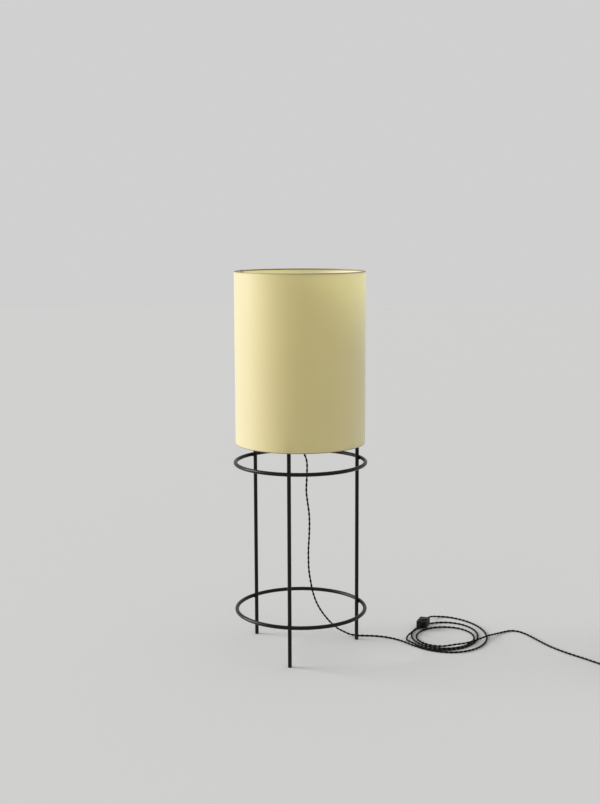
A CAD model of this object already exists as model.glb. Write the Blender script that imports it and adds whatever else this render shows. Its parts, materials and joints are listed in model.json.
import json
import math

import bmesh
import bpy
from mathutils import Matrix, Vector, noise


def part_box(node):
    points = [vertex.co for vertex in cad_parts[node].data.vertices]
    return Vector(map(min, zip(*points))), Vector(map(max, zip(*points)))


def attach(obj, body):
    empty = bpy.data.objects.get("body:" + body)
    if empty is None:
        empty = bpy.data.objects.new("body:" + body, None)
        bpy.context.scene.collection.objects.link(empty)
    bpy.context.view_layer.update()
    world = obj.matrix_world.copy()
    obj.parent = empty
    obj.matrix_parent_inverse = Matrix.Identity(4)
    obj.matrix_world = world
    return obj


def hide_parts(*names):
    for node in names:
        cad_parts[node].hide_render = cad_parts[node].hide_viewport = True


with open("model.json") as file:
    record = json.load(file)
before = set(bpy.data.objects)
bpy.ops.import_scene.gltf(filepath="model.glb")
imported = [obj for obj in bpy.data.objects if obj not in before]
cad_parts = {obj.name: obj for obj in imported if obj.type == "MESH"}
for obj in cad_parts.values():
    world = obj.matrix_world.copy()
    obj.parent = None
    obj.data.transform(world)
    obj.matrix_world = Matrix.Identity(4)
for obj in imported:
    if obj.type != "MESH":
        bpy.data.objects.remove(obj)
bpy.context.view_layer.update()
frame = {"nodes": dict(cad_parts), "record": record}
cadNodes = frame["nodes"]
mm = 0.001

viewPoint = {
    "place": (0.5761, -3.1450, 1.1371),
    "heading": 10.39,  # degrees round from straight ahead
    "dip": 8.33,
    "roll": -0.218,
    "lens": 54.97,
}


def placeCamera():
    camera = bpy.data.cameras.new("viewCamera")
    camera.lens = viewPoint["lens"]
    camera.sensor_width = 36
    holder = bpy.data.objects.new("viewCamera", camera)
    turn = (Matrix.Rotation(math.radians(viewPoint["heading"]), 4, "Z")
            @ Matrix.Rotation(math.radians(90 - viewPoint["dip"]), 4, "X")
            @ Matrix.Rotation(math.radians(viewPoint["roll"]), 4, "Z"))
    holder.matrix_world = Matrix.Translation(viewPoint["place"]) @ turn
    bpy.context.scene.collection.objects.link(holder)
    bpy.context.scene.camera = holder


placeCamera()
print("camera placed")


def setInputs(tree, node, inputs):
    for key, value in inputs.items():
        if isinstance(value, bpy.types.NodeSocket):
            tree.links.new(value, node.inputs[key])
        else:
            node.inputs[key].default_value = value


def addNode(tree, kind, inputs=None, **settings):
    node = tree.nodes.new(kind)
    for key, value in settings.items():
        setattr(node, key, value)
    setInputs(tree, node, inputs or {})
    return node


def maths(tree, operation, first, second=0.0):
    return addNode(tree, "ShaderNodeMath", {0: first, 1: second}, operation=operation).outputs[0]


def useGroup(tree, group, **inputs):
    node = addNode(tree, "ShaderNodeGroup", node_tree=group)
    setInputs(tree, node, {key[0].upper() + key[1:]: value for key, value in inputs.items()})
    return node.outputs[0]


def newGroup(name, inputs, output):
    group = bpy.data.node_groups.new(name, "ShaderNodeTree")
    group.interface.new_socket("Vector", in_out="INPUT", socket_type="NodeSocketVector")
    for label, default in inputs.items():
        group.interface.new_socket(label, in_out="INPUT", socket_type="NodeSocketFloat").default_value = default
    group.interface.new_socket(output, in_out="OUTPUT", socket_type="NodeSocketFloat")
    return group, group.nodes.new("NodeGroupInput").outputs, group.nodes.new("NodeGroupOutput").inputs[0]


# Fine raised grain, as on powder coat and moulded plastic
def makeGrain():
    group, given, result = newGroup("fineGrain", {"Scale": 900.0, "Pits": 0.5}, "Height")
    small = addNode(group, "ShaderNodeTexNoise", {
        "Vector": given["Vector"], "Scale": given["Scale"], "Detail": 3.0, "Roughness": 0.5})
    pits = addNode(group, "ShaderNodeTexVoronoi", {
        "Vector": given["Vector"], "Scale": maths(group, "MULTIPLY", given["Scale"], 0.6)})
    deep = maths(group, "MULTIPLY", pits.outputs["Distance"], given["Pits"])
    group.links.new(maths(group, "ADD", small.outputs["Fac"], deep), result)
    return group


# A value that drifts between two limits, for gloss and tone
def makeDrift():
    group, given, result = newGroup("softDrift", {"Scale": 12.0, "Low": 0.35, "High": 0.5}, "Value")
    broad = addNode(group, "ShaderNodeTexNoise", {
        "Vector": given["Vector"], "Scale": given["Scale"], "Detail": 4.0, "Roughness": 0.62})
    spread = addNode(group, "ShaderNodeMapRange", {
        "Value": broad.outputs["Fac"], "From Min": 0.32, "From Max": 0.68,
        "To Min": given["Low"], "To Max": given["High"]})
    group.links.new(spread.outputs["Result"], result)
    return group


# Thin dust that settles on whatever faces up
def makeDust():
    group, given, result = newGroup("settledDust", {"Scale": 60.0, "Amount": 0.2}, "Mask")
    normal = addNode(group, "ShaderNodeNewGeometry").outputs["Normal"]
    upward = addNode(group, "ShaderNodeSeparateXYZ", {0: normal})
    facing = addNode(group, "ShaderNodeMapRange", {"Value": upward.outputs["Z"], "From Min": 0.35})
    patches = addNode(group, "ShaderNodeTexNoise", {
        "Vector": given["Vector"], "Scale": given["Scale"], "Detail": 6.0, "Roughness": 0.7})
    cover = maths(group, "MULTIPLY", facing.outputs["Result"], patches.outputs["Fac"])
    group.links.new(maths(group, "MULTIPLY", cover, given["Amount"]), result)
    return group


# Hairlines that run across the lamp's axis, or wherever the stretch puts them
def makeHairlines():
    group, given, result = newGroup("hairlines", {"Along": 40.0, "Across": 3000.0}, "Height")
    stretch = addNode(group, "ShaderNodeCombineXYZ", {
        "X": given["Along"], "Y": given["Along"], "Z": given["Across"]})
    stretched = addNode(group, "ShaderNodeVectorMath", {0: given["Vector"], 1: stretch.outputs[0]},
                        operation="MULTIPLY")
    lines = addNode(group, "ShaderNodeTexNoise", {
        "Vector": stretched.outputs[0], "Scale": 1.0, "Detail": 4.0, "Roughness": 0.65})
    group.links.new(lines.outputs["Fac"], result)
    return group


# Crossing yarns of a braided sleeve, on a map with metres along in X and turns around in Y
def makeBraid():
    group, given, result = newGroup("braidedYarn", {"Turns": 160.0, "Yarns": 6.0}, "Height")
    place = addNode(group, "ShaderNodeSeparateXYZ", {0: given["Vector"]})
    along = maths(group, "MULTIPLY", place.outputs["X"], given["Turns"])
    around = maths(group, "MULTIPLY", place.outputs["Y"], given["Yarns"])
    waves = []
    for operation in ("ADD", "SUBTRACT"):
        phase = maths(group, "MULTIPLY", maths(group, operation, along, around), math.tau)
        waves.append(maths(group, "SINE", phase))
    ridge = maths(group, "MAXIMUM", waves[0], waves[1])
    group.links.new(maths(group, "MULTIPLY", maths(group, "ADD", ridge, 1.0), 0.5), result)
    return group


fineGrain = makeGrain()
softDrift = makeDrift()
settledDust = makeDust()
hairlines = makeHairlines()
braidedYarn = makeBraid()


def startMaterial(name):
    material = bpy.data.materials.new(name)
    material.use_nodes = True
    tree = material.node_tree
    tree.nodes.clear()
    place = addNode(tree, "ShaderNodeTexCoord").outputs["Object"]
    shader = addNode(tree, "ShaderNodeBsdfPrincipled")
    output = addNode(tree, "ShaderNodeOutputMaterial", {"Surface": shader.outputs["BSDF"]})
    return material, tree, place, shader, output


def twoTones(tree, mask, first, second):
    mixer = addNode(tree, "ShaderNodeMix", {0: mask}, data_type="RGBA")
    mixer.inputs[6].default_value = (*first, 1)
    mixer.inputs[7].default_value = (*second, 1)
    return mixer.outputs[2]


def relief(tree, height, distance, strength=1.0):
    return addNode(tree, "ShaderNodeBump", {
        "Height": height, "Distance": distance, "Strength": strength}).outputs[0]


# Coated or moulded: a grain in relief, a drifting gloss and a little dust on top
def coated(name, tone, dusty, gloss, grain, depth, dust=0.12, coat=0.0, shine=0.32):
    material, tree, place, shader, _ = startMaterial(name)
    mask = useGroup(tree, settledDust, vector=place, amount=dust)
    bumps = useGroup(tree, fineGrain, vector=place, scale=grain)
    setInputs(tree, shader, {
        "Base Color": twoTones(tree, mask, tone, dusty),
        "Roughness": useGroup(tree, softDrift, vector=place, scale=18.0, low=gloss[0], high=gloss[1]),
        "Normal": relief(tree, bumps, depth),
        "Specular IOR Level": shine,
        "Coat Weight": coat,
        "Coat Roughness": 0.2,
    })
    return material


# Metal with hairlines and a slight change of tone
def metal(name, tone, duller, gloss, along=40.0, across=3000.0):
    material, tree, place, shader, _ = startMaterial(name)
    tarnish = useGroup(tree, softDrift, vector=place, scale=70.0, low=0.0, high=1.0)
    lines = useGroup(tree, hairlines, vector=place, along=along, across=across)
    setInputs(tree, shader, {
        "Base Color": twoTones(tree, tarnish, tone, duller),
        "Roughness": useGroup(tree, softDrift, vector=place, scale=160.0, low=gloss[0], high=gloss[1]),
        "Normal": relief(tree, lines, 0.00002, 0.6),
        "Metallic": 1.0,
    })
    return material


laminateLook = {
    "outside": (0.615, 0.452, 0.150),
    "inside": (0.95, 0.90, 0.70),
    "rolled": (0.19, 0.13, 0.045),
    "fibre": 0.93,  # how bright a fibre is against the sheet
    "through": (0.99, 1.0, 0.64, 1),
    "share": 0.38,  # how much of the light goes through each face of the sheet
    "gloss": (0.53, 0.60),
    "coat": 0.96,
    "coatGloss": 0.5,
    "sheen": 0.93,
    "sheenSpread": 0.8,
    "grainStretch": (260.0, 260.0, 22.0),  # the fibres run upwards
}


# Smooth shade laminate: light passes through it, and faint fibres show in it
def laminate(name, side, share, coat, sheen):
    material, tree, place, shader, output = startMaterial(name)
    look = laminateLook
    stretched = addNode(tree, "ShaderNodeVectorMath", {0: place, 1: look["grainStretch"]}, operation="MULTIPLY")
    fibres = addNode(tree, "ShaderNodeTexNoise", {
        "Vector": stretched.outputs[0], "Scale": 1.0, "Detail": 5.0, "Roughness": 0.7}).outputs["Fac"]
    clouds = useGroup(tree, softDrift, vector=place, scale=6.0, low=0.35, high=0.85)
    tone = look[side]
    fibreTone = [channel * look["fibre"] for channel in tone]
    setInputs(tree, shader, {
        "Base Color": twoTones(tree, maths(tree, "MULTIPLY", fibres, clouds), tone, fibreTone),
        "Roughness": useGroup(tree, softDrift, vector=place, scale=9.0, low=look["gloss"][0], high=look["gloss"][1]),
        "Normal": relief(tree, fibres, 0.00004, 0.5),
        "Specular IOR Level": 0.46,
        "Coat Weight": coat,
        "Coat Roughness": look["coatGloss"],
        "Coat IOR": 1.55,
        "Sheen Weight": sheen,
        "Sheen Roughness": look["sheenSpread"],
    })
    through = addNode(tree, "ShaderNodeBsdfTranslucent", {"Color": look["through"]})
    both = addNode(tree, "ShaderNodeMixShader", {0: share, 1: shader.outputs["BSDF"], 2: through.outputs[0]})
    tree.links.new(both.outputs[0], output.inputs["Surface"])
    return material


# Textile braided over one core of the flex
def braided(name):
    material, tree, place, shader, _ = startMaterial(name)
    runMap = addNode(tree, "ShaderNodeUVMap", uv_map="alongFlex").outputs["UV"]
    yarn = useGroup(tree, braidedYarn, vector=runMap)
    fuzz = addNode(tree, "ShaderNodeTexNoise", {"Vector": place, "Scale": 1500.0, "Detail": 2.0})
    lit = maths(tree, "MULTIPLY", maths(tree, "POWER", yarn, 2.0), fuzz.outputs["Fac"])
    setInputs(tree, shader, {
        "Base Color": twoTones(tree, lit, (0.002, 0.002, 0.0022), (0.014, 0.0137, 0.0133)),
        "Normal": relief(tree, yarn, 0.0002, 0.9),
        "Roughness": 0.85,
        "Specular IOR Level": 0.12,
        "Sheen Weight": 0.02,
        "Sheen Roughness": 0.5,
    })
    return material


def clearGlass(name):
    material, tree, place, shader, _ = startMaterial(name)
    setInputs(tree, shader, {
        "Base Color": (0.93, 0.96, 0.95, 1),
        "Roughness": useGroup(tree, softDrift, vector=place, scale=40.0, low=0.02, high=0.05),
        "Transmission Weight": 1.0,
        "IOR": 1.5,
    })
    return material


# Milky glass, with light going a little way through
def opalGlass(name):
    material, tree, place, shader, output = startMaterial(name)
    cloud = useGroup(tree, softDrift, vector=place, scale=14.0, low=0.0, high=1.0)
    setInputs(tree, shader, {
        "Base Color": twoTones(tree, cloud, (0.84, 0.83, 0.80), (0.88, 0.87, 0.85)),
        "Roughness": useGroup(tree, softDrift, vector=place, scale=30.0, low=0.12, high=0.2),
    })
    through = addNode(tree, "ShaderNodeBsdfTranslucent", {"Color": (0.9, 0.89, 0.86, 1)})
    both = addNode(tree, "ShaderNodeMixShader", {0: 0.35, 1: shader.outputs["BSDF"], 2: through.outputs[0]})
    tree.links.new(both.outputs[0], output.inputs["Surface"])
    return material


finishes = {
    "black_steel": coated("powderCoat", (0.004, 0.004, 0.0043), (0.04, 0.039, 0.037), (0.30, 0.38), 1000.0, 0.00004,
                          dust=0.08, shine=0.2),
    "black_screw": coated("blackenedSteel", (0.012, 0.012, 0.013), (0.06, 0.06, 0.06), (0.28, 0.38), 1600.0, 0.00002),
    "glide": coated("glidePlastic", (0.010, 0.010, 0.010), (0.05, 0.05, 0.05), (0.5, 0.6), 900.0, 0.00004),
    "black_plastic": coated("mouldedBlack", (0.004, 0.004, 0.0043), (0.04, 0.039, 0.037), (0.4, 0.5), 1300.0, 0.00006,
                            dust=0.08, shine=0.18),
    "dial": coated("dialPlastic", (0.006, 0.006, 0.0065), (0.05, 0.05, 0.05), (0.32, 0.42), 1500.0, 0.00005,
                   dust=0.08, shine=0.22),
    "bush": coated("softRubber", (0.005, 0.005, 0.005), (0.04, 0.04, 0.04), (0.62, 0.74), 800.0, 0.00004, shine=0.2),
    "ceramic": coated("glazedPorcelain", (0.80, 0.77, 0.70), (0.6, 0.58, 0.52), (0.2, 0.3), 300.0, 0.00002,
                      dust=0.1, coat=0.4, shine=0.5),
    "white_wire": coated("whiteCoat", (0.74, 0.72, 0.66), (0.55, 0.53, 0.48), (0.35, 0.45), 1000.0, 0.00003,
                         dust=0.2, shine=0.5),
    "black_glass": coated("blackVitrite", (0.01, 0.01, 0.011), (0.04, 0.04, 0.04), (0.08, 0.16), 400.0, 0.00001,
                          dust=0.05),
    "board": coated("circuitBoard", (0.02, 0.11, 0.04), (0.08, 0.15, 0.09), (0.3, 0.4), 700.0, 0.00003),
    "terminal_plastic": coated("terminalPlastic", (0.66, 0.66, 0.62), (0.5, 0.5, 0.48), (0.3, 0.4), 900.0, 0.00003),
    "regulator": coated("regulatorCase", (0.05, 0.055, 0.065), (0.12, 0.12, 0.12), (0.4, 0.5), 900.0, 0.00003),
    "brass": metal("plainBrass", (0.80, 0.60, 0.26), (0.58, 0.42, 0.18), (0.22, 0.34)),
    "zinc_steel": metal("zincSteel", (0.66, 0.67, 0.68), (0.52, 0.53, 0.55), (0.26, 0.38), 60.0, 2600.0),
    "nickel": metal("nickelPlate", (0.76, 0.74, 0.70), (0.62, 0.60, 0.56), (0.14, 0.24)),
    "solder": metal("tinSolder", (0.62, 0.60, 0.54), (0.45, 0.43, 0.38), (0.35, 0.5), 300.0, 300.0),
    "filament": metal("drawnWire", (0.28, 0.27, 0.26), (0.18, 0.17, 0.16), (0.3, 0.42)),
    "frosted_glass": opalGlass("opalGlass"),
    "clear_glass": clearGlass("clearGlass"),
    "shade_laminate": laminate("shadeLaminate", "outside", laminateLook["share"], laminateLook["coat"],
                               laminateLook["sheen"]),
    "rolled_edge": laminate("rolledLaminate", "rolled", 0.08, 0.6, 0.2),
    "flex": braided("braidedTextile"),
}

# A node that keeps its own shape takes its finish here.
for part in frame["record"]["subparts"]:
    for nodeSlot in cadNodes[part["node"]].material_slots:
        nodeSlot.material = finishes[part["material_slot"]]
shadeLining = laminate("shadeLining", "inside", laminateLook["share"], 0.2, 0.0)
print("finishes made:", len(finishes))


# Points are (x, y) or (x, y, radius), and each radius becomes an arc.
def softCorners(points, parts=5):
    out = []
    for i, point in enumerate(points):
        here = Vector(point[:2])
        if len(point) < 3 or point[2] == 0:
            out.append(here)
            continue
        before = (Vector(points[i - 1][:2]) - here).normalized()
        after = (Vector(points[(i + 1) % len(points)][:2]) - here).normalized()
        half = before.angle(after) / 2
        middle = here + (before + after).normalized() * (point[2] / math.sin(half))
        first = here + before * (point[2] / math.tan(half)) - middle
        last = here + after * (point[2] / math.tan(half)) - middle
        sweep = -first.angle_signed(last)
        for k in range(parts + 1):
            out.append(middle + Matrix.Rotation(sweep * k / parts, 2) @ first)
    return out


def arcPoints(middle, radius, fromAngle, toAngle, parts):
    angles = [math.radians(fromAngle + (toAngle - fromAngle) * k / parts) for k in range(parts + 1)]
    return [Vector(middle) + radius * Vector((math.cos(a), math.sin(a))) for a in angles]


# A closed outline of (radius, height) in millimetres, spun round the upright axis
def turned(bm, outline, steps=96, angle=math.tau, start=0.0):
    turn = Matrix.Rotation(start, 4, "Z")
    verts = [bm.verts.new(turn @ Vector((x * mm, 0, z * mm))) for x, z in outline]
    edges = [bm.edges.new(pair) for pair in zip(verts, verts[1:] + verts[:1])]
    whole = angle == math.tau
    bmesh.ops.spin(bm, geom=verts + edges, cent=(0, 0, 0), axis=(0, 0, 1), angle=angle,
                   steps=steps, use_merge=whole)
    if not whole:
        bmesh.ops.holes_fill(bm, edges=[e for e in bm.edges if e.is_boundary])


# A flat outline in millimetres, raised from one height to another
def raised(bm, outline, low, high):
    face = bm.faces.new([bm.verts.new((x * mm, y * mm, low * mm)) for x, y in outline])
    grown = bmesh.ops.extrude_face_region(bm, geom=[face], use_keep_orig=True)["geom"]
    top = [v for v in grown if isinstance(v, bmesh.types.BMVert)]
    bmesh.ops.translate(bm, verts=top, vec=(0, 0, (high - low) * mm))


def bevelEdges(bm, edges, width, segments=3):
    return bmesh.ops.bevel(bm, geom=list(edges), offset=width * mm, offset_type="OFFSET", affect="EDGES",
                           segments=segments, profile=0.5, material=-1, clamp_overlap=True)


# The edges round the faces that look straight up or down
def bevelFlats(bm, width, segments):
    bmesh.ops.recalc_face_normals(bm, faces=bm.faces)
    bevelEdges(bm, {e for f in bm.faces if abs(f.normal.z) > 0.9 for e in f.edges}, width, segments)


def softBox(bm, size, place, width, segments=2):
    matrix = Matrix.Translation(Vector(place) * mm) @ Matrix.Diagonal((*(Vector(size) * mm), 1))
    made = bmesh.ops.create_cube(bm, size=1, matrix=matrix)["verts"]
    bevelEdges(bm, {e for v in made for e in v.link_edges}, width, segments)


def pillar(bm, radius, low, high, place=(0, 0), segments=48):
    matrix = Matrix.Translation(Vector((*place, (low + high) / 2)) * mm)
    bmesh.ops.create_cone(bm, cap_ends=True, segments=segments, radius1=radius * mm, radius2=radius * mm,
                          depth=(high - low) * mm, matrix=matrix)


def lump(bm, place, size, roughness=0.12):
    middle = Vector(place) * mm
    made = bmesh.ops.create_icosphere(
        bm, subdivisions=3, radius=1, matrix=Matrix.Translation(middle) @ Matrix.Diagonal((*(Vector(size) * mm), 1)))
    for vert in made["verts"]:
        vert.co += (vert.co - middle) * noise.noise(vert.co * 700) * roughness * 2


def meshFrom(data, modifier=None, settings=None):
    holder = bpy.data.objects.new("passing", data)
    bpy.context.scene.collection.objects.link(holder)
    if modifier:
        added = holder.modifiers.new(modifier, modifier)
        for key, value in settings.items():
            setattr(added, key, value)
    mesh = bpy.data.meshes.new_from_object(holder.evaluated_get(bpy.context.evaluated_depsgraph_get()))
    bpy.data.objects.remove(holder)
    return mesh


def asMesh(bm, name="passing"):
    mesh = bpy.data.meshes.new(name)
    bm.to_mesh(mesh)
    bm.free()
    return mesh


# Round rods along lists of points in millimetres
def rodMesh(name, lines, radius, parts=4):
    curve = bpy.data.curves.new(name, "CURVE")
    curve.dimensions = "3D"
    curve.bevel_depth = radius * mm
    curve.bevel_resolution = parts
    curve.use_fill_caps = True
    for line in lines:
        spline = curve.splines.new("POLY")
        spline.points.add(len(line) - 1)
        for point, place in zip(spline.points, line):
            point.co = (*(Vector(place) * mm), 1)
    return meshFrom(curve)


# Takes one shape out of another
def cutAway(bm, cutter):
    for shape in (bm, cutter):
        bmesh.ops.remove_doubles(shape, verts=shape.verts, dist=0.000002)
        bmesh.ops.recalc_face_normals(shape, faces=shape.faces)
    holder = bpy.data.objects.new("cutter", asMesh(cutter))
    bpy.context.scene.collection.objects.link(holder)
    cut = meshFrom(asMesh(bm), "BOOLEAN", {"operation": "DIFFERENCE", "solver": "EXACT", "object": holder})
    bpy.data.objects.remove(holder)
    out = bmesh.new()
    out.from_mesh(cut)
    return out


# Ribs or a thread, pressed into the wall that stands between two heights
def shapeWall(bm, radii, heights, push):
    for vert in bm.verts:
        x, y, z = vert.co / mm
        radius = math.hypot(x, y)
        if radii[0] <= radius <= radii[1] and heights[0] <= z <= heights[1]:
            scale = (radius + push(math.atan2(y, x), z)) / radius
            vert.co.x *= scale
            vert.co.y *= scale


# A wave from 0 to 1, and a value that runs in and out over a short stretch
def wave(angle):
    return 0.5 - 0.5 * math.cos(angle)


def fade(value, low, high, run):
    return max(0.0, min(1.0, (value - low) / run, (high - value) / run))


def addPiece(name, mesh, body, standsFor=()):
    piece = bpy.data.objects.new(name, mesh)
    bpy.context.scene.collection.objects.link(piece)
    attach(piece, body)
    if standsFor:
        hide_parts(*standsFor)
    return piece


def makePiece(name, bm, body, slot, standsFor=(), sharp=38, place=None):
    bmesh.ops.remove_doubles(bm, verts=bm.verts, dist=0.000004)
    bmesh.ops.recalc_face_normals(bm, faces=bm.faces)
    for face in bm.faces:
        face.smooth = True
    for edge in bm.edges:
        edge.smooth = edge.calc_face_angle(0) < math.radians(sharp)
    if place:
        bm.transform(place)
    mesh = asMesh(bm, name)
    mesh.materials.append(finishes[slot])
    return addPiece(name, mesh, body, standsFor)


dimmerPlan = {
    "place": Vector((313, 208, 5.7)),
    "turn": 80,  # degrees
    "length": 46,
    "width": 30,
    "height": 20,
    "corner": 6,
    "edge": 3,
    "wall": 1.8,
    "parting": 0.35,  # bevel along the joint of the two shells
    "bush": 6,  # how far a bush stands out
    "dial": 22,
    "recess": 2,
    "proud": 3,
    "notches": 20,
    "flexHole": 3.7,
    "screwRecess": 2.7,
    "screwPlace": (15.8, -9.2),
}

plugPlan = {
    "place": Vector((853, -64, 0)),
    "turn": -40,
    "length": 36,
    "width": 35.3,
    "height": 13.7,
    "edge": 2.5,
    "neck": 5.7,  # half the width where the tail joins
    "shoulder": 18.3,  # where the sides run straight
    "grips": 4,  # grooves on each side
    "tail": 22,
    "tailRings": 6,
    "pin": 4,
    "pinLength": 19,
    "pinPitch": 18.6,
    "sleeve": 10,  # length of the black sleeve on each pin
}

flexPlan = {
    "diameter": 5.4,
    "core": 2.96,  # one core with its textile
    "pitch": 26.6,  # one full twist
    "stepsPerTwist": 14,
    "onFloor": 2.7,
    "crossing": 8.9,  # height of the tail where it passes over the turns
    "outerTurn": {"middle": (370, 161), "radii": (120, 152), "tilt": 18.6},
    "innerTurns": {"middle": (373, 156), "drift": (2.5, -13.5), "radii": (100.5, 133), "shrink": (12, 27)},
    "exit": (0, 0, 0.559),
    "dropLength": 1.43,  # metres, from the grip to the dimmer
    "plugLength": 2.05,  # metres, from the dimmer to the plug
}


def standingAt(plan):
    return Matrix.Translation(plan["place"] * mm) @ Matrix.Rotation(math.radians(plan["turn"]), 4, "Z")


def pointOn(plan, x):
    return plan["place"] + Matrix.Rotation(math.radians(plan["turn"]), 3, "Z") @ Vector((x, 0, plan["height"] / 2))


# The tilted outer turn, by its angle in degrees
def outerPoint(angle):
    plan = flexPlan["outerTurn"]
    a, tilt = math.radians(angle), math.radians(plan["tilt"])
    x, y = plan["radii"][0] * math.cos(a), plan["radii"][1] * math.sin(a)
    return Vector((plan["middle"][0] + x * math.cos(tilt) - y * math.sin(tilt),
                   plan["middle"][1] + x * math.sin(tilt) + y * math.cos(tilt), flexPlan["onFloor"]))


# The inner turns, which shrink and drift; t counts whole turns
def innerPoint(t):
    plan = flexPlan["innerTurns"]
    a = math.pi + math.tau * t
    x, y = (plan["middle"][i] + plan["drift"][i] * t + (plan["radii"][i] - plan["shrink"][i] * t) * turn
            for i, turn in enumerate((math.cos(a), math.sin(a))))
    return Vector((x, y, flexPlan["onFloor"]))


def routeToDimmer():
    low = flexPlan["onFloor"]
    drop = [
        (0, 0, 559), (0, 0, 551), (3, 1, 541), (9, 2, 531), (14, 3, 520), (17, 3, 505), (17, 3, 480),
        (16, 3, 455), (15, 3, 430), (18, 4, 400), (22, 4, 370), (23, 5, 340), (22, 5, 305), (20, 5, 270),
        (20, 5, 240), (21, 7, 210), (25, 9, 180), (30, 14, 150), (37, 22, 122), (47, 33, 96), (60, 48, 70),
        (74, 64, 47), (89, 80, 28), (104, 94, 15), (119, 102, 6), (135, 105, low + 0.4), (154, 107, low),
        (178, 109, low), (203, 108, low), (228, 102, low), (252, 90, low), (275, 73, low)]
    rise = [(349, 305, 3.6), (339, 299, 5.2), (332, 289, 7.6), (328, 277, 10.4), (325, 264, 13.2), (322.5, 252, 15)]
    end = dimmerPlan["length"] / 2 + dimmerPlan["bush"]
    turn = [outerPoint(a) for a in range(215, 431, 15)]
    return drop + turn + rise + [pointOn(dimmerPlan, x) for x in (end + 5.4, end, end - 8)]


def routeToPlug():
    low, over = flexPlan["onFloor"], flexPlan["crossing"]
    fall = [(303, 161, 14.4), (297, 151, 12.8), (290, 140, 10.8), (283, 128, 8), (278, 115, 5), (277, 101, 3),
            (281, 88, low)]
    firstTurn, lastTurn = 0.11, 2.19
    count = int((lastTurn - firstTurn) * 24)
    turns = [innerPoint(firstTurn + i / 24) for i in range(count + 1)] + [innerPoint(lastTurn)]
    tail = [
        (369, 54, low + 0.8), (384, 53, 5), (399, 55, 7.2), (414, 60, over), (429, 68, over), (442, 77, over),
        (454, 89, over), (466, 103, over), (477, 118, over), (488, 134, over), (499, 151, over - 1),
        (511, 169, 5.4), (524, 187, 3.4), (540, 204, low), (558, 217, low), (578, 214, low), (597, 198, low),
        (615, 174, low), (633, 147, low), (652, 120, low), (673, 94, low), (697, 70, low), (722, 48, low),
        (747, 28, low), (770, 8, low), (788, -8, low + 0.3), (804, -22, low + 1.3), (819, -35, low + 2.8)]
    end = dimmerPlan["length"] / 2 + dimmerPlan["bush"]
    back = plugPlan["tail"]
    return ([pointOn(dimmerPlan, x) for x in (8 - end, -end, -end - 5.4)] + fall + turns + tail
            + [pointOn(plugPlan, x) for x in (-back - 5.4, -back, 8 - back)])


# A smooth line through the points, cut into equal steps
def evenSteps(points, step):
    points = [Vector(p) for p in points]
    ends = [2 * points[0] - points[1]] + points + [2 * points[-1] - points[-2]]
    fine = []
    for a, b, c, d in zip(ends, ends[1:], ends[2:], ends[3:]):
        t1 = (b - a).length ** 0.5
        t2 = t1 + (c - b).length ** 0.5
        t3 = t2 + (d - c).length ** 0.5
        pieceCount = max(2, int((c - b).length / 0.8))
        for k in range(pieceCount):
            t = t1 + (t2 - t1) * k / pieceCount
            p1 = a.lerp(b, t / t1)
            p2 = b.lerp(c, (t - t1) / (t2 - t1))
            p3 = c.lerp(d, (t - t2) / (t3 - t2))
            fine.append(p1.lerp(p2, t / t2).lerp(p2.lerp(p3, (t - t1) / (t3 - t1)), (t - t1) / (t2 - t1)))
    fine.append(points[-1])
    out, carry = [fine[0]], 0.0
    for a, b in zip(fine, fine[1:]):
        while carry + (b - a).length >= step:
            a = a.lerp(b, (step - carry) / (b - a).length)
            out.append(a)
            carry = 0.0
        carry += (b - a).length
    return out


# Two round cores twisted about the line, with a map that runs along and around each
def twistedPair(name, points, phase):
    step = flexPlan["pitch"] / flexPlan["stepsPerTwist"]
    line = evenSteps(points, step)
    reach = (flexPlan["diameter"] - flexPlan["core"]) / 2
    side = Vector((1, 0, 0))
    cores = ([], [])
    for i, here in enumerate(line):
        ahead = (line[min(i + 1, len(line) - 1)] - line[max(i - 1, 0)]).normalized()
        side = (side - ahead * side.dot(ahead)).normalized()
        angle = phase + math.tau * i / flexPlan["stepsPerTwist"]
        out = side * math.cos(angle) + ahead.cross(side) * math.sin(angle)
        cores[0].append(here + out * reach)
        cores[1].append(here - out * reach)
    mesh = rodMesh(name, cores, flexPlan["core"] / 2)
    mesh.name = name
    mesh.shade_smooth()
    mesh.uv_layers[0].name = "alongFlex"
    for corner in mesh.uv_layers[0].data:
        corner.uv = (corner.uv[1] * step * (len(line) - 1) * mm, corner.uv[0])
    mesh.materials.clear()
    mesh.materials.append(finishes["flex"])
    return mesh, [p * mm for p in line], angle


def makeFlex():
    mesh, line, angle = twistedPair("flexToDimmer", routeToDimmer(), 0.4)
    toDimmer = addPiece("flexToDimmer", mesh, "frame", ("cord_drop", "cord_first_turn"))
    mesh, line, _ = twistedPair("flexToPlug", routeToPlug(), angle)
    toPlug = addPiece("flexToPlug", mesh, "frame", ("cord_coil", "cord_tail"))
    print("flex made:", len(toDimmer.data.polygons) + len(toPlug.data.polygons), "faces")


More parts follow.
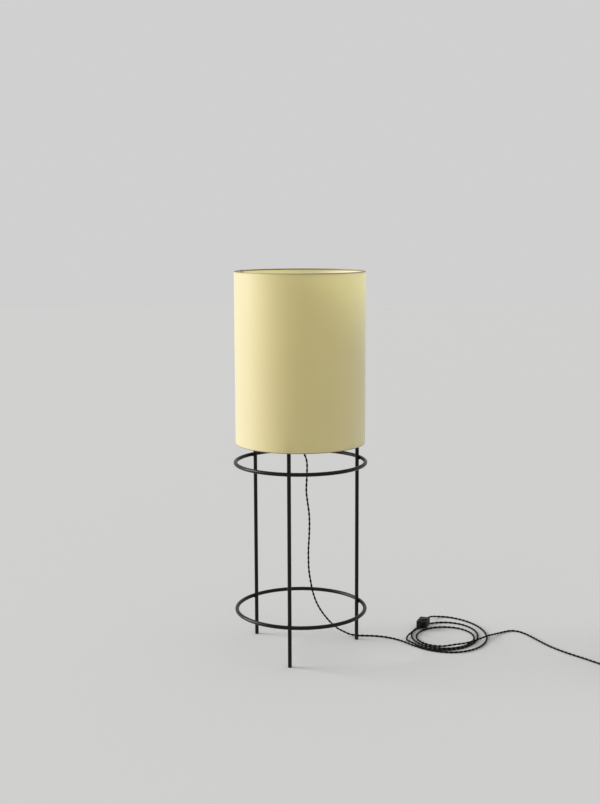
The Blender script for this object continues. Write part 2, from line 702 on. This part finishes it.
# One half of the dimmer's housing, from its full rounded block
def housingHalf(upper):
    plan = dimmerPlan
    split = plan["height"] / 2 * mm
    bm = bmesh.new()
    bmesh.ops.create_cube(bm, size=1, matrix=Matrix.Translation((0, 0, split)) @ Matrix.Diagonal(
        (plan["length"] * mm, plan["width"] * mm, plan["height"] * mm, 1)))
    upright = [e for e in bm.edges if abs(e.verts[0].co.z - e.verts[1].co.z) > mm]
    bevelEdges(bm, upright, plan["corner"], 8)
    bevelFlats(bm, plan["edge"], 6)
    bmesh.ops.bisect_plane(bm, geom=bm.verts[:] + bm.edges[:] + bm.faces[:], plane_co=(0, 0, split),
                           plane_no=(0, 0, 1), clear_outer=not upper, clear_inner=upper)
    shell = bm.faces[:]
    bmesh.ops.recalc_face_normals(bm, faces=shell)
    outerRim = [e for e in bm.edges if e.is_boundary]
    bmesh.ops.solidify(bm, geom=shell, thickness=plan["wall"] * mm)
    bevelEdges(bm, [e for e in outerRim if e.is_valid], plan["parting"], 2)
    return bm


def makeDimmer():
    plan = dimmerPlan
    place = standingAt(plan)
    height, reach = plan["height"], plan["length"] / 2
    across = Matrix.Translation((0, 0, height / 2 * mm)) @ Matrix.Rotation(math.pi / 2, 4, "Y")

    holes = bmesh.new()
    pillar(holes, plan["flexHole"], -reach - 1, reach + 1, segments=40)
    holes.transform(across)
    pillar(holes, plan["dial"] / 2 + 0.3, height - plan["recess"], height + 2, segments=72)
    upper = cutAway(housingHalf(True), holes)
    makePiece("dimmerUpper", upper, "frame", "black_plastic", ("dimmer_upper_shell",), 32, place)

    holes = bmesh.new()
    pillar(holes, plan["flexHole"], -reach - 1, reach + 1, segments=40)
    holes.transform(across)
    for side in (-1, 1):
        pillar(holes, plan["screwRecess"], -1, 1.4, [side * p for p in plan["screwPlace"]])
    lower = cutAway(housingHalf(False), holes)
    makePiece("dimmerLower", lower, "frame", "black_plastic", ("dimmer_lower_shell",), 32, place)

    dialLow, dialHigh = height - plan["recess"] + 0.3, height + plan["proud"]
    radius = plan["dial"] / 2
    dial = bmesh.new()
    turned(dial, softCorners([
        (0, 7.4), (3, 7.4, 0.4), (3, dialLow), (radius, dialLow, 0.3), (radius, dialHigh, 0.7),
        (radius - 2.2, dialHigh, 0.3), (radius - 2.8, dialHigh - 0.8, 0.3), (0, dialHigh - 0.8)], 3), 120)
    notches = bmesh.new()
    for k in range(plan["notches"]):
        angle = math.tau * k / plan["notches"]
        pillar(notches, 0.95, height - 0.2, height + 6,
               ((radius + 0.35) * math.cos(angle), (radius + 0.35) * math.sin(angle)), 16)
    dial = cutAway(dial, notches)
    softBox(dial, (radius - 3.4, 2.2, 1.0), ((radius - 3.4) / 2 + 0.4, 0, dialHigh - 0.55), 0.3)
    makePiece("dimmerDial", dial, "dial", "dial", ("dimmer_dial",), 30, place)

    for name, side, node in (("bushIn", 1, "dimmer_bush_in"), ("bushOut", -1, "dimmer_bush_out")):
        outline = [(2.75, -3), (4.6, -3), (4.6, -1.8), (3.7, -1.8), (3.7, 0), (5.1, 0, 0.3)]
        for k in range(3):
            z, r = 1.1 + 1.6 * k, 5.0 - 0.22 * k
            outline += [(r, z), (r - 0.55, z + 0.2), (r - 0.55, z + 0.6), (r - 0.1, z + 0.8)]
        outline += [(4.2, plan["bush"], 0.4), (2.75, plan["bush"], 0.3)]
        bush = bmesh.new()
        turned(bush, softCorners(outline, 3), 64)
        outward = (Matrix.Translation((0, 0, height / 2 * mm)) @ Matrix.Rotation(side * math.pi / 2, 4, "Y")
                   @ Matrix.Translation((0, 0, reach * mm)))
        makePiece(name, bush, "frame", "bush", (node,), 30, place @ outward)
    print("dimmer made")


def makePlug():
    plan = plugPlan
    place = standingAt(plan)
    long, wide, high = plan["length"], plan["width"] / 2, plan["height"]
    body = bmesh.new()
    neck, shoulder = plan["neck"], plan["shoulder"]
    raised(body, softCorners([(0, -neck, 5), (shoulder, -wide, 5), (long, -wide, 3), (long, wide, 3),
                              (shoulder, wide, 5), (0, neck, 5)], 6), 0, high)
    bevelFlats(body, plan["edge"], 5)
    grips = bmesh.new()
    for k in range(plan["grips"]):
        for side in (-1, 1):
            softBox(grips, (1.1, 14, 0.9), (20 + 3.2 * k, 0, high if side > 0 else 0), 0.4)
            softBox(grips, (1.1, 0.9, 7), (20 + 3.2 * k, side * wide, high / 2), 0.4)
    body = cutAway(body, grips)
    makePiece("plugBody", body, "frame", "black_plastic", ("plug_body",), 32, place)

    tail = bmesh.new()
    back = plan["tail"]
    outline = [(2.75, 0), (3.7, 0, 0.4)]
    for k in range(plan["tailRings"]):
        z, r = 2.4 + 3.0 * k, 3.75 + 0.28 * k
        outline += [(r + 0.1, z), (r - 0.6, z + 0.3), (r - 0.6, z + 1.2), (r + 0.25, z + 1.5)]
    outline += [(5.6, back), (5.6, back + 4), (2.75, back + 4)]
    turned(tail, softCorners(outline, 3), 64)
    alongTail = Matrix.Translation((-back * mm, 0, high / 2 * mm)) @ Matrix.Rotation(math.pi / 2, 4, "Y")
    makePiece("plugTail", tail, "frame", "bush", (), 30, place @ alongTail)

    pins, sleeves = bmesh.new(), bmesh.new()
    radius, tip, sleeveEnd = plan["pin"] / 2, plan["pinLength"], plan["sleeve"]
    dome = [(p.x, p.y) for p in arcPoints((0, tip - radius), radius, 0, 84, 8)]
    for side in (-1, 1):
        pin, sleeve = bmesh.new(), bmesh.new()
        turned(pin, [(0, -2), (1.5, -2), (1.5, sleeveEnd - 0.5), (radius, sleeveEnd)] + dome + [(0, tip)], 40)
        turned(sleeve, softCorners([(1.6, 0), (radius, 0), (radius, sleeveEnd, 0.2), (1.6, sleeveEnd)], 3), 40)
        outward = (Matrix.Translation((long * mm, side * plan["pinPitch"] / 2 * mm, high / 2 * mm))
                   @ Matrix.Rotation(math.pi / 2, 4, "Y"))
        for shape, whole in ((pin, pins), (sleeve, sleeves)):
            shape.transform(place @ outward)
            whole.from_mesh(asMesh(shape))
    makePiece("plugPins", pins, "frame", "nickel", ("plug_pins",))
    makePiece("pinSleeves", sleeves, "frame", "black_plastic")
    print("plug made")


shadePlan = {
    "rows": 28,  # faces up the sheet
    "steps": 320,  # faces round it
    "sheet": 0.6,
    "wire": 1.2,
    "wireCircle": 169.2,
    "seamAngle": 164,  # degrees
    "lap": 13,  # overlap at the seam
    "wrapEnd": 232,  # degrees that an edge is rolled round its wire
    "armCircle": 168.7,
    "arm": 1.5,
    "bend": 8,
    "arms": (-30, 90, 210),
    "eye": 35,  # inner radius of the centre ring
    "eyeBand": 6,
    "eyeThick": 3.6,
}


# One sheet that laps over its own start
def makeSheet():
    plan = shadePlan
    low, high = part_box("shade_sheet")
    outerRadius, lowZ, highZ = high[0] / mm, low[2] / mm, high[2] / mm
    lapAngle = plan["lap"] / outerRadius
    total = math.tau + lapAngle
    start = Matrix.Rotation(math.radians(plan["seamAngle"]), 4, "Z")
    count = plan["rows"] + 1
    heights = [lowZ + (highZ - lowZ) * k / plan["rows"] for k in range(count)]
    bm = bmesh.new()
    line = [bm.verts.new(start @ Vector(((outerRadius - plan["sheet"]) * mm, 0, z * mm))) for z in heights]
    edges = [bm.edges.new(pair) for pair in zip(line, line[1:])]
    bmesh.ops.spin(bm, geom=line + edges, cent=(0, 0, 0), axis=(0, 0, 1), angle=total, steps=plan["steps"])
    bm.verts.ensure_lookup_table()
    for index, vert in enumerate(bm.verts):
        turn = total * (index // count) / plan["steps"]
        lift = max(0.0, min(1.0, (turn - math.tau + lapAngle) / lapAngle))
        lift = lift * lift * (3 - 2 * lift) * (plan["sheet"] + 0.06)
        radius = math.hypot(vert.co.x, vert.co.y)
        vert.co.xy *= (radius + lift * mm) / radius
    bm.faces.ensure_lookup_table()
    if bm.faces[0].normal.dot(bm.faces[0].calc_center_median().xy.to_3d()) < 0:
        bmesh.ops.reverse_faces(bm, faces=bm.faces)
    bmesh.ops.solidify(bm, geom=bm.faces[:], thickness=-plan["sheet"] * mm)
    bmesh.ops.recalc_face_normals(bm, faces=bm.faces)
    for face in bm.faces:  # what faces the bulb has the paler lining
        if face.normal.dot(face.calc_center_median().xy.to_3d().normalized()) < -0.5:
            face.material_index = 1
    sheet = makePiece("shadeSheet", bm, "shade", "shade_laminate", ("shade_sheet",))
    sheet.data.materials.append(shadeLining)


# The sheet's edge, rolled round its wire and tucked in behind it
def makeRolledEdge(name, node, up):
    plan = shadePlan
    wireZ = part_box("top_wire" if up else "bottom_wire")[0][2] / mm + plan["wire"]
    side = 1 if up else -1
    middle = (plan["wireCircle"], 0)
    outer = arcPoints(middle, plan["wire"] + plan["sheet"], 0, plan["wrapEnd"], 18)
    inner = arcPoints(middle, plan["wire"] + 0.03, plan["wrapEnd"], 0, 18)
    bm = bmesh.new()
    turned(bm, [(p.x, wireZ + side * p.y) for p in outer + inner], 320)
    for vert in bm.verts:  # the hand-rolled end wanders a little
        behind = max(0.0, plan["wireCircle"] - math.hypot(vert.co.x, vert.co.y) / mm)
        vert.co.z += noise.noise(Vector((vert.co.x, vert.co.y, 0)) * 30) * behind * 0.16 * mm
    makePiece(name, bm, "shade", "rolled_edge", (node,), 60)
    # A second layer of the roll where the sheet laps
    bm = bmesh.new()
    outer = arcPoints(middle, plan["wire"] + 2 * plan["sheet"], -6, plan["wrapEnd"] - 8, 18)
    inner = arcPoints(middle, plan["wire"] + plan["sheet"] - 0.1, plan["wrapEnd"] - 8, -6, 18)
    turned(bm, [(p.x, wireZ + side * p.y) for p in outer + inner], 12, plan["lap"] / 171,
           math.radians(plan["seamAngle"]))
    makePiece(name + "Lap", bm, "shade", "rolled_edge", (), 60)


# Bent arms from the centre ring down to the lower wire
def makeSpider():
    plan = shadePlan
    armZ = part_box("shade_spider")[1][2] / mm - plan["eyeThick"] / 2
    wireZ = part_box("bottom_wire")[0][2] / mm + plan["wire"]
    outer, half = plan["eye"] + plan["eyeBand"], plan["eyeThick"] / 2
    bm = bmesh.new()
    turned(bm, softCorners([(plan["eye"], armZ - half, 0.6), (outer, armZ - half, 0.6), (outer, armZ + half, 0.6),
                            (plan["eye"], armZ + half, 0.6)], 3), 128)
    bend = arcPoints((plan["armCircle"] - plan["bend"], armZ - plan["bend"]), plan["bend"], 90, 0, 12)
    lines = []
    for angle in plan["arms"]:
        turn = Matrix.Rotation(math.radians(angle), 3, "Z")
        line = [(outer - 2, armZ)] + [(p.x, p.y) for p in bend] + [(plan["armCircle"], wireZ + 0.6)]
        lines.append([turn @ Vector((x, 0, z)) for x, z in line])
        lump(bm, turn @ Vector((plan["armCircle"] - 0.3, 0, wireZ + 0.9)), (1.7, 2.4, 1.5))
        for side in (-1, 1):
            lump(bm, turn @ Vector((outer + 0.2, side * 1.6, armZ)), (1.5, 1.0, 1.3))
    bm.from_mesh(rodMesh("arms", lines, plan["arm"], 6))
    makePiece("shadeSpider", bm, "shade", "white_wire", ("shade_spider",), 35)


bracketPlan = {
    "hub": 28,
    "arm": 5,  # half the width of an arm
    "legCircle": 162,
    "legAngles": (-90, 30, 150),
    "fillet": 14,
    "edge": 0.5,
}


def makeBracket():
    plan = bracketPlan
    low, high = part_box("holder_bracket")
    hub, arm, fillet = plan["hub"], plan["arm"], plan["fillet"]
    across = math.sqrt((hub + fillet) ** 2 - (arm + fillet) ** 2)
    lean = math.degrees(math.atan2(arm + fillet, across))
    outline = []
    for angle in plan["legAngles"]:
        side = (arcPoints((across, -arm - fillet), fillet, 180 - lean, 90, 8)
                + arcPoints((plan["legCircle"], 0), arm, -90, 90, 16)
                + arcPoints((across, arm + fillet), fillet, 270, 180 + lean, 8))
        outline += [Matrix.Rotation(math.radians(angle), 2) @ p for p in side]
        outline += arcPoints((0, 0), hub, angle + lean + 3, angle + 117 - lean, 12)
    bm = bmesh.new()
    raised(bm, outline, low[2] / mm, high[2] / mm)
    bevelFlats(bm, plan["edge"], 3)
    makePiece("holderBracket", bm, "frame", "black_steel", ("holder_bracket",), 32)


# Button heads with hexagon sockets, on plain shanks
def makeBracketScrews():
    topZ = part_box("bracket_screws")[1][2] / mm
    headZ = topZ - 2.2
    dome = [(3.8 * math.cos(a), headZ + 0.3 + 1.9 * math.sin(a)) for a in
            [math.radians(10 + 10 * k) for k in range(7)]]
    whole = bmesh.new()
    for angle in bracketPlan["legAngles"]:
        screw, socket = bmesh.new(), bmesh.new()
        turned(screw, [(0, headZ - 14), (1.9, headZ - 14), (1.9, headZ), (3.7, headZ), (3.8, headZ + 0.25)]
               + dome + [(0, topZ)], 48)
        pillar(socket, 1.45, topZ - 1.3, topZ + 1, (0, 0), 6)
        screw = cutAway(screw, socket)
        screw.transform(Matrix.Rotation(math.radians(angle), 4, "Z")
                        @ Matrix.Translation((bracketPlan["legCircle"] * mm, 0, 0)))
        whole.from_mesh(asMesh(screw))
    makePiece("bracketScrews", whole, "frame", "black_screw", ("bracket_screws",), 30)


weldPlan = {
    "leg": 5,
    "rings": (109, 509),
    "runs": (-3.2, -1.6, 0, 1.6, 3.2),  # places of the lumps along one bead
    "lump": (1.7, 1.35, 1.5),
}


def makeWelds():
    plan = weldPlan
    bm = bmesh.new()
    for angle in bracketPlan["legAngles"]:
        turn = Matrix.Rotation(math.radians(angle), 3, "Z")
        for ringZ in plan["rings"]:
            for side in (-1, 1):
                for y in plan["runs"]:
                    x = bracketPlan["legCircle"] + math.sqrt(plan["leg"] ** 2 - y * y) + 0.9
                    lift = 3.9 - abs(y) * 0.12
                    lump(bm, turn @ Vector((x, y, ringZ + side * lift)), plan["lump"], 0.1)
    makePiece("weldBeads", bm, "frame", "black_steel", ("weld_beads",), 50)


def makeGlides():
    bm = bmesh.new()
    for angle in bracketPlan["legAngles"]:
        foot = bmesh.new()
        turned(foot, softCorners([(0, 0), (4.6, 0, 0.6), (5, 1.0, 0.3), (5, 2.6, 0.1), (4.7, 2.75), (4.7, 3.0),
                                  (1.75, 3.0), (1.75, 10.6, 0.2), (1.2, 11), (0, 11)], 4), 64)
        foot.transform(Matrix.Rotation(math.radians(angle), 4, "Z")
                       @ Matrix.Translation((bracketPlan["legCircle"] * mm, 0, 0)))
        bm.from_mesh(asMesh(foot))
    makePiece("footGlides", bm, "frame", "glide", ("foot_glides",), 35)


holderPlan = {
    "ribs": 40,
    "ribDepth": 0.45,
    "threadPitch": 4,
    "threadDepth": 0.55,
    "shellPitch": 3.6,
    "shellDepth": 0.45,
}


def makeHolder():
    plan = holderPlan
    low, high = (corner[2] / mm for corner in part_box("holder_cap"))
    cap = bmesh.new()
    wall = [(22, low + 5 + (high - low - 7) * k / 10) for k in range(11)]
    turned(cap, [(5, low), (18.5, low)] + arcPoints((19, low + 3), 3, -80, 0, 6) + wall
           + softCorners([(22, high - 1.5), (22, high, 0.8), (20, high, 0.3), (20, high - 9), (18, high - 9),
                          (18, low + 6), (5, low + 6)], 3), 320)
    ribLow, ribHigh = low + 6, high - 2.5
    shapeWall(cap, (21.9, 22.1), (ribLow, ribHigh), lambda angle, z:
              -plan["ribDepth"] * wave(angle * plan["ribs"]) * fade(z, ribLow, ribHigh, 1.5))
    makePiece("holderCap", cap, "frame", "black_plastic", ("holder_cap",), 40)

    low, high = (corner[2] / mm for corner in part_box("holder_body"))
    body = bmesh.new()
    threadLow, threadHigh = low + 8, high - 3
    wall = [(20, threadLow + (threadHigh - threadLow) * k / 56) for k in range(57)]
    turned(body, [(17, low), (20, low)] + wall
           + softCorners([(20, high - 2.5), (20, high, 1.0), (15, high, 0.5), (15, high - 1.8, 0.3),
                          (17, high - 2)], 4), 128)
    shapeWall(body, (19.9, 20.1), (threadLow, threadHigh), lambda angle, z:
              -plan["threadDepth"] * wave(math.tau * z / plan["threadPitch"] - angle) ** 0.7
              * fade(z, threadLow, threadHigh, 3))
    makePiece("holderBody", body, "frame", "black_plastic", ("holder_body",), 45)


# The rolled thread of the holder's metal shell and of the bulb's cap share one pitch.
def makeThreadedSheet(name, node, radius, thickness, foot, threadFrom):
    plan = holderPlan
    low, high = (corner[2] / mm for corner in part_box(node))
    threadLow, threadHigh = low + threadFrom, high - 2.5
    rows = [threadLow + (threadHigh - threadLow) * k / 44 for k in range(45)]
    outer = [(radius, low + 1.2)] + [(radius, z) for z in rows] + [(radius, high)]
    inner = [(r - thickness, z) for r, z in reversed(outer)]
    bm = bmesh.new()
    turned(bm, [(foot, low), (radius - 1, low)] + outer + inner
           + [(radius - 1 - thickness, low + thickness), (foot, low + thickness)], 96)
    shapeWall(bm, (radius - thickness - 0.05, radius + 0.05), (threadLow, threadHigh), lambda angle, z:
              -plan["shellDepth"] * wave(math.tau * z / plan["shellPitch"] - angle)
              * fade(z, threadLow, threadHigh, 2))
    makePiece(name, bm, "frame", "nickel", (node,), 50)


# Washer, nut and the tapered grip under the bracket
def makeUnderside():
    low, high = (corner[2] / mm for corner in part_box("nipple_washer"))
    washer = bmesh.new()
    turned(washer, softCorners([(5, low), (10, low, 0.3), (10, high, 0.3), (5, high)], 3), 64)
    makePiece("nippleWasher", washer, "frame", "zinc_steel", ("nipple_washer",), 30)

    low, high = (corner[2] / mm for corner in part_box("nipple_nut"))
    nut = bmesh.new()
    wide = 7 / math.cos(math.radians(30)) + 0.1
    turned(nut, [(5, low + 0.4), (5.4, low), (7, low), (wide, low + 0.9), (wide, high - 0.9),
                 (7, high), (5.4, high), (5, high - 0.4)], 96)
    for k in range(6):
        outward = Matrix.Rotation(math.radians(30 + 60 * k), 3, "Z") @ Vector((1, 0, 0))
        cut = bmesh.ops.bisect_plane(nut, geom=nut.verts[:] + nut.edges[:] + nut.faces[:], plane_co=outward * 7 * mm,
                                     plane_no=outward, clear_outer=True)["geom_cut"]
        bmesh.ops.contextual_create(nut, geom=[e for e in cut if isinstance(e, bmesh.types.BMEdge)])
    makePiece("nippleNut", nut, "frame", "zinc_steel", ("nipple_nut",), 25)

    low, high = (corner[2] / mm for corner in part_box("cord_grip"))
    outline = [(3, low), (5, low, 0.6), (6.1, low + 3.2)]
    for k in range(3):
        z, r = low + 3.6 + 1.7 * k, 6.2 + 0.5 * k
        outline += [(r, z), (r - 0.5, z + 0.3), (r - 0.3, z + 0.8), (r + 0.35, z + 1.0)]
    outline += [(8, low + 11, 0.8), (8, low + 12)] + [(8, low + 12 + k) for k in range(1, 9)]
    outline += [(8, high, 0.8), (5, high, 0.3), (5, high - 8), (3, high - 8)]
    grip = bmesh.new()
    turned(grip, softCorners(outline, 4), 192)
    shapeWall(grip, (7.9, 8.1), (low + 12, high - 1), lambda angle, z: -0.25 * wave(angle * 24))
    makePiece("cordGrip", grip, "frame", "black_plastic", ("cord_grip",), 32)


roomPlan = {
    "floor": 14.0,  # metres across
    "floorTone": (0.565, 0.565, 0.56, 1),
    "wallTone": (0.63, 0.63, 0.63, 1),
    "skyLight": 0.72,
    "sunTurn": -88,  # degrees round from straight ahead, so from the left
    "sunHeight": 19,
    "sunSpread": 33,
    "sunPower": 3.7,
}


def makeFloor():
    bm = bmesh.new()
    bmesh.ops.create_circle(bm, cap_ends=True, segments=96, radius=roomPlan["floor"])
    mesh = asMesh(bm, "floor")
    floor = bpy.data.objects.new("floor", mesh)
    bpy.context.scene.collection.objects.link(floor)
    material, tree, _, shader, _ = startMaterial("paleFloor")
    setInputs(tree, shader, {"Base Color": roomPlan["floorTone"], "Roughness": 0.9, "Specular IOR Level": 0.2})
    mesh.materials.append(material)


# A broad soft light from the left, as from a large window
def makeKeyLight():
    plan = roomPlan
    lamp = bpy.data.lights.new("windowLight", "SUN")
    lamp.energy = plan["sunPower"]
    lamp.angle = math.radians(plan["sunSpread"])
    holder = bpy.data.objects.new("windowLight", lamp)
    turn, height = math.radians(plan["sunTurn"]), math.radians(plan["sunHeight"])
    away = Vector((math.sin(turn) * math.cos(height), -math.cos(turn) * math.cos(height), math.sin(height)))
    holder.matrix_world = (-away).to_track_quat("-Z", "Y").to_matrix().to_4x4()
    bpy.context.scene.collection.objects.link(holder)


# The world lights the lamp softly, and shows as a plain pale wall
def makeWorld():
    world = bpy.data.worlds.new("paleRoom")
    bpy.context.scene.world = world
    world.use_nodes = True
    tree = world.node_tree
    tree.nodes.clear()
    light = addNode(tree, "ShaderNodeBackground", {"Color": (1, 1, 1, 1), "Strength": roomPlan["skyLight"]})
    wall = addNode(tree, "ShaderNodeBackground", {"Color": roomPlan["wallTone"], "Strength": 1.0})
    rays = addNode(tree, "ShaderNodeLightPath").outputs
    seen = maths(tree, "MAXIMUM", maths(tree, "MAXIMUM", rays["Is Camera Ray"], rays["Is Glossy Ray"]),
                 rays["Is Transmission Ray"])
    mixed = addNode(tree, "ShaderNodeMixShader", {0: seen, 1: light.outputs[0], 2: wall.outputs[0]})
    addNode(tree, "ShaderNodeOutputWorld", {"Surface": mixed.outputs[0]})


makeDimmer()
makePlug()
makeFlex()
makeSheet()
makeRolledEdge("topRoll", "top_edge", True)
makeRolledEdge("bottomRoll", "bottom_edge", False)
makeSpider()
print("shade made")
makeBracket()
makeBracketScrews()
makeWelds()
makeGlides()
print("frame pieces made")
makeHolder()
makeThreadedSheet("screwShell", "screw_shell", 13.7, 0.4, 7, 4)
makeThreadedSheet("bulbCap", "bulb_cap", 13.0, 0.5, 9.5, 3)
makeUnderside()
print("holder pieces made")
makeFloor()
makeKeyLight()
makeWorld()
bpy.context.scene.view_settings.view_transform = "Standard"
print("room lit")
